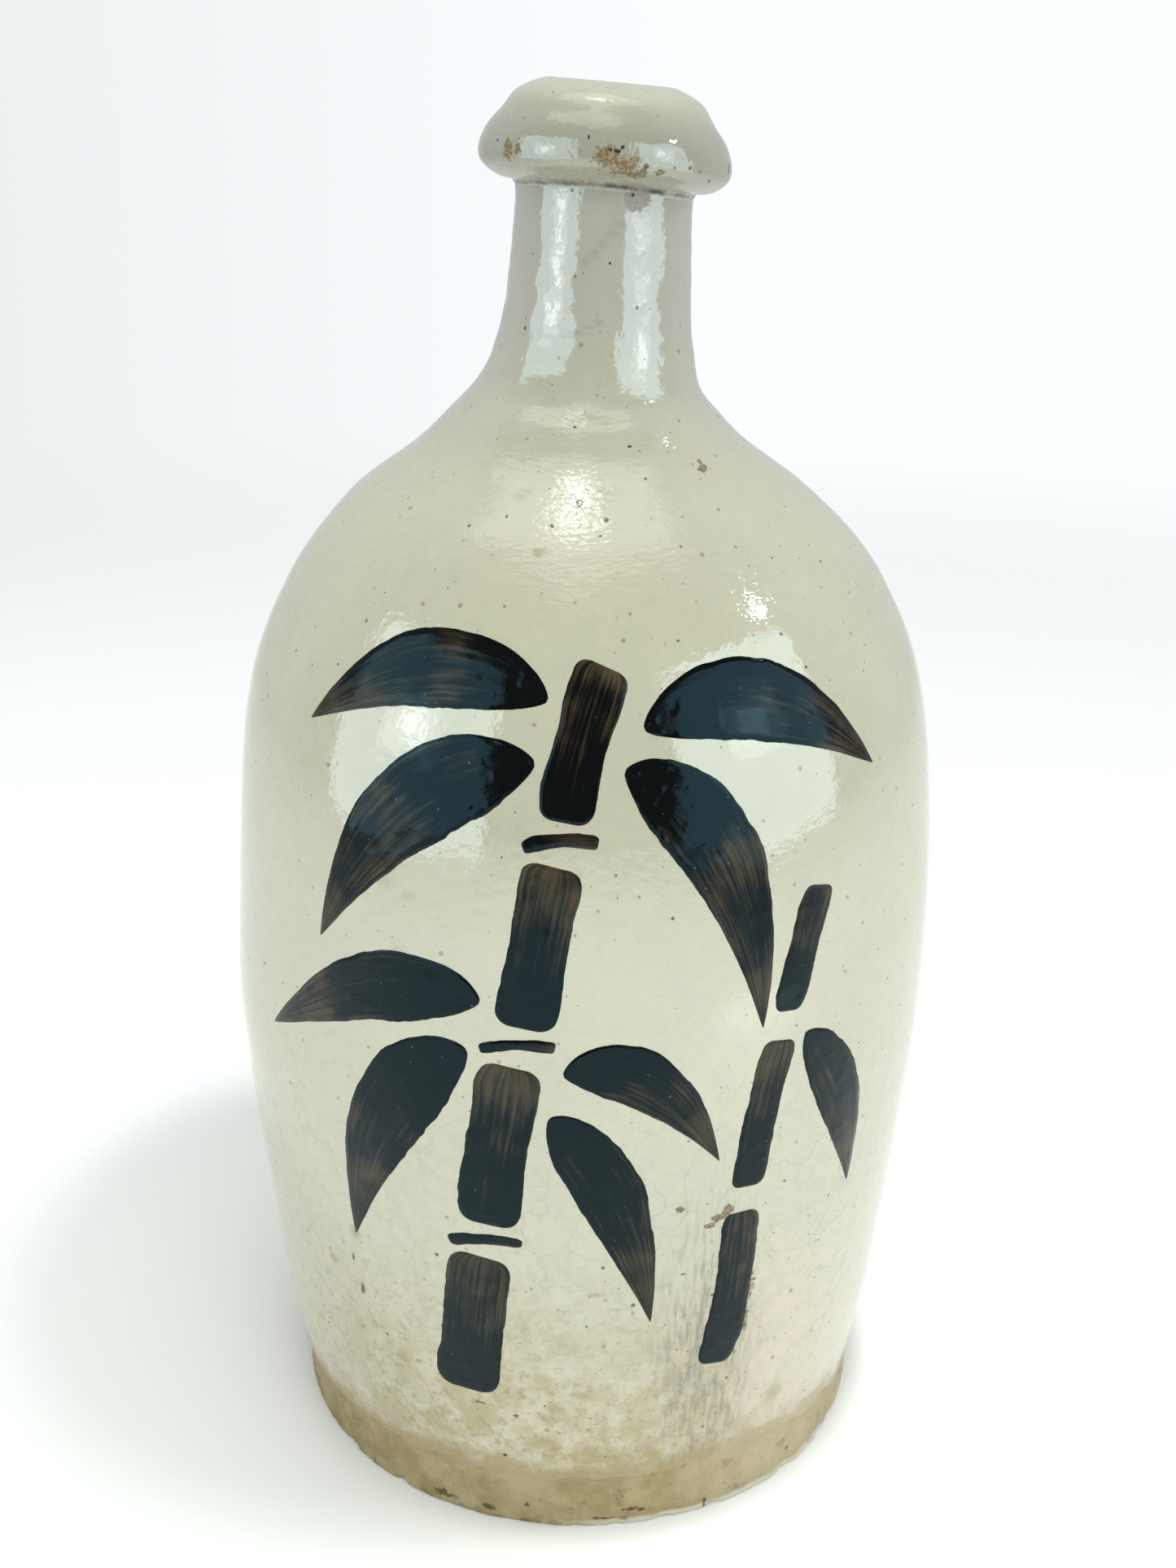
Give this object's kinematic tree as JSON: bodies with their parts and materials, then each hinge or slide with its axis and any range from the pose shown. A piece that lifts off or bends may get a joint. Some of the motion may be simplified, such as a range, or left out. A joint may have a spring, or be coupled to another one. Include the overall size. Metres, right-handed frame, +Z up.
{
  "type": "sake bottle",
  "caption": "Stoneware sake bottle with a straight-sided body, round shoulder, slim leaning neck, thick rolled lip and bold brush painting.",
  "frame": {"origin": "centre of the underside, on the axis of the body", "axes": "+Z up along the body, painted side towards -Y, neck leaning towards +X"},
  "size_m": [0.1344, 0.1346, 0.2538],
  "materials": {
    "foot_clay": "matte",
    "wall_clay": "matte",
    "body_glaze": "gloss",
    "neck_glaze": "gloss",
    "inner_glaze": "gloss",
    "iron_slip": "gloss"
  },
  "bodies": {
    "root": {"base_disc": "foot_clay", "lower_wall": "wall_clay", "upper_wall": "wall_clay", "neck": "wall_clay", "lip_ring": "wall_clay", "body_glaze": "body_glaze", "neck_glaze": "neck_glaze", "inner_glaze": "inner_glaze", "culm_1": "iron_slip", "culm_2": "iron_slip", "culm_3": "iron_slip", "culm_4": "iron_slip", "ring_1": "iron_slip", "ring_2": "iron_slip", "ring_3": "iron_slip", "shoot_1": "iron_slip", "shoot_2": "iron_slip", "shoot_3": "iron_slip", "leaf_1": "iron_slip", "leaf_2": "iron_slip", "leaf_3": "iron_slip", "leaf_4": "iron_slip", "leaf_5": "iron_slip", "leaf_6": "iron_slip", "leaf_7": "iron_slip", "leaf_8": "iron_slip", "leaf_9": "iron_slip"}
  },
  "joints": []
}
